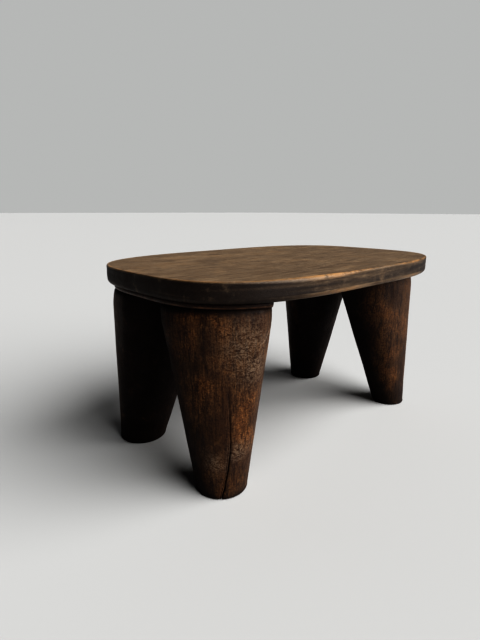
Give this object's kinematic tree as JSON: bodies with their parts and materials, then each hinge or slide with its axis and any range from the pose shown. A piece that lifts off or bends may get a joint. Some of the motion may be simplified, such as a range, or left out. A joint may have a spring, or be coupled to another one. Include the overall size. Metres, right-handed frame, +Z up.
{
  "type": "low carved wooden headrest",
  "caption": "Low wooden headrest: a flat oval board with softened edges on stepped end pads and stout, slightly splayed tapering legs.",
  "frame": {"origin": "centre of the footprint, on the floor that the feet stand on", "axes": "+X along the board's length, +Y across it, +Z up"},
  "size_m": [0.33, 0.214, 0.172],
  "materials": {
    "seat_wood": "hand-rubbed dark patina, worn lighter along the edges",
    "pad_wood": "dark patina, matt in the undercut",
    "leg_wood": "dark patina over faint tool marks, satin where handled"
  },
  "bodies": {
    "root": {"seat_board": "seat_wood", "end_pad_left": "pad_wood", "end_pad_right": "pad_wood", "leg_front_left": "leg_wood", "leg_front_right": "leg_wood", "leg_back_left": "leg_wood", "leg_back_right": "leg_wood"}
  },
  "joints": []
}
